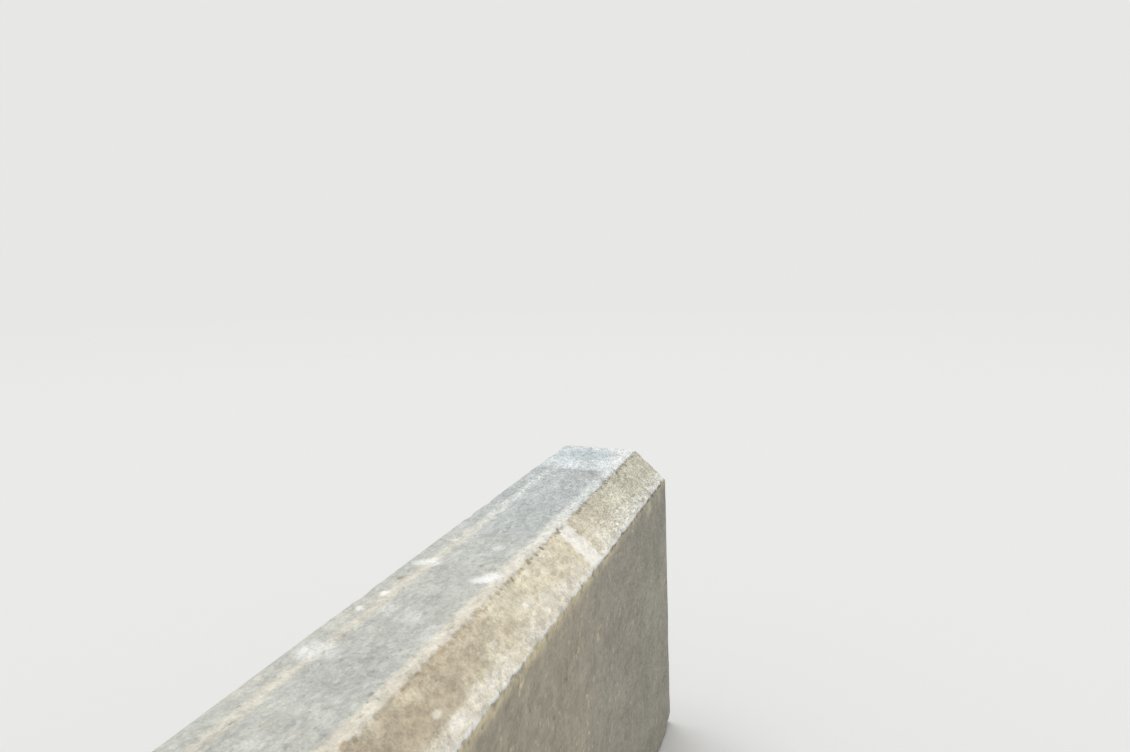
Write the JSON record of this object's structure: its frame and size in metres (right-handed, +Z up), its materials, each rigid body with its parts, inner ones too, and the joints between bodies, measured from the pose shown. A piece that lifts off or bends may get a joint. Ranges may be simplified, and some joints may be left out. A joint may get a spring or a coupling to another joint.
{
  "type": "concrete kerb stone",
  "caption": "Straight pressed concrete kerb stone, a solid bar that stands on its narrow base, with its front top edge sloped away, for edging a path or road.",
  "frame": {"origin": "middle of the base, on the surface that the stone stands on", "axes": "+X along the stone, +Y from the sloped front face to the plain back face, +Z up"},
  "size_m": [1, 0.08, 0.2],
  "materials": {
    "concrete": "matte"
  },
  "bodies": {
    "root": {"kerb_stone": "concrete"}
  },
  "joints": []
}
